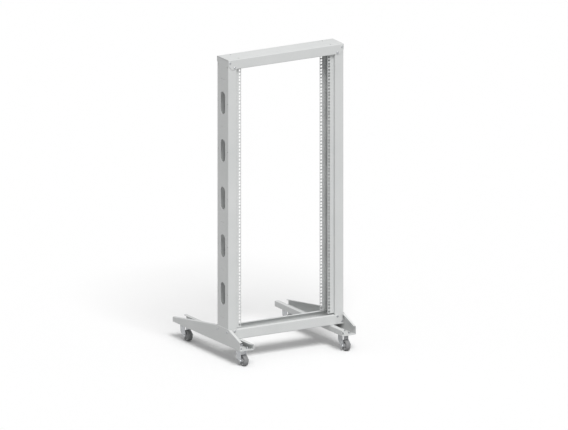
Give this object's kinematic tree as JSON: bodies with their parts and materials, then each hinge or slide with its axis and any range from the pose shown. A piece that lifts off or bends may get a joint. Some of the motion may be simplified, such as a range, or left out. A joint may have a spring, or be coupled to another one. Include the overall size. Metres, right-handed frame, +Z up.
{
  "type": "relay rack",
  "caption": "Open two-post relay rack with joggled square-hole rails, slotted wide uprights and sloped feet on swivel casters.",
  "frame": {"origin": "on the floor, at the middle of the outline in plan", "axes": "+Z up, -Y the front (short end of the feet), +X to the right seen from the front"},
  "size_m": [0.604, 0.606, 1.4094],
  "materials": {
    "frame_paint": "satin powder coat",
    "zinc_plate": "zinc plated",
    "wheel_core": "matte",
    "tyre": "matte non-marking rubber"
  },
  "bodies": {
    "frame": {"left_upright": "frame_paint", "right_upright": "frame_paint", "top_crossmember": "frame_paint", "bottom_crossmember": "frame_paint", "left_foot": "frame_paint", "right_foot": "frame_paint", "front_left_caster_plate": "zinc_plate", "front_right_caster_plate": "zinc_plate", "rear_left_caster_plate": "zinc_plate", "rear_right_caster_plate": "zinc_plate"},
    "front_left_swivel": {"front_left_fork": "zinc_plate", "front_left_axle_bolt": "zinc_plate"},
    "front_left_wheel": {"front_left_wheel": "wheel_core", "front_left_tyre": "tyre"},
    "front_right_swivel": {"front_right_fork": "zinc_plate", "front_right_axle_bolt": "zinc_plate"},
    "front_right_wheel": {"front_right_wheel": "wheel_core", "front_right_tyre": "tyre"},
    "rear_left_swivel": {"rear_left_fork": "zinc_plate", "rear_left_axle_bolt": "zinc_plate"},
    "rear_left_wheel": {"rear_left_wheel": "wheel_core", "rear_left_tyre": "tyre"},
    "rear_right_swivel": {"rear_right_fork": "zinc_plate", "rear_right_axle_bolt": "zinc_plate"},
    "rear_right_wheel": {"rear_right_wheel": "wheel_core", "rear_right_tyre": "tyre"}
  },
  "joints": [
    {"name": "front_left_swivel", "type": "hinge", "parent": "frame", "child": "front_left_swivel", "pos_m": [-0.2655, -0.2515, 0.07], "axis": [0, 0, 1], "continuous": true},
    {"name": "front_left_roll", "type": "hinge", "parent": "front_left_swivel", "child": "front_left_wheel", "pos_m": [-0.2655, -0.2755, 0.0255], "axis": [1, 0, 0], "continuous": true},
    {"name": "front_right_swivel", "type": "hinge", "parent": "frame", "child": "front_right_swivel", "pos_m": [0.2655, -0.2515, 0.07], "axis": [0, 0, 1], "continuous": true},
    {"name": "front_right_roll", "type": "hinge", "parent": "front_right_swivel", "child": "front_right_wheel", "pos_m": [0.2655, -0.2755, 0.0255], "axis": [1, 0, 0], "continuous": true},
    {"name": "rear_left_swivel", "type": "hinge", "parent": "frame", "child": "rear_left_swivel", "pos_m": [-0.2655, 0.2515, 0.07], "axis": [0, 0, 1], "continuous": true},
    {"name": "rear_left_roll", "type": "hinge", "parent": "rear_left_swivel", "child": "rear_left_wheel", "pos_m": [-0.2655, 0.2275, 0.0255], "axis": [1, 0, 0], "continuous": true},
    {"name": "rear_right_swivel", "type": "hinge", "parent": "frame", "child": "rear_right_swivel", "pos_m": [0.2655, 0.2515, 0.07], "axis": [0, 0, 1], "continuous": true},
    {"name": "rear_right_roll", "type": "hinge", "parent": "rear_right_swivel", "child": "rear_right_wheel", "pos_m": [0.2655, 0.2275, 0.0255], "axis": [1, 0, 0], "continuous": true}
  ]
}
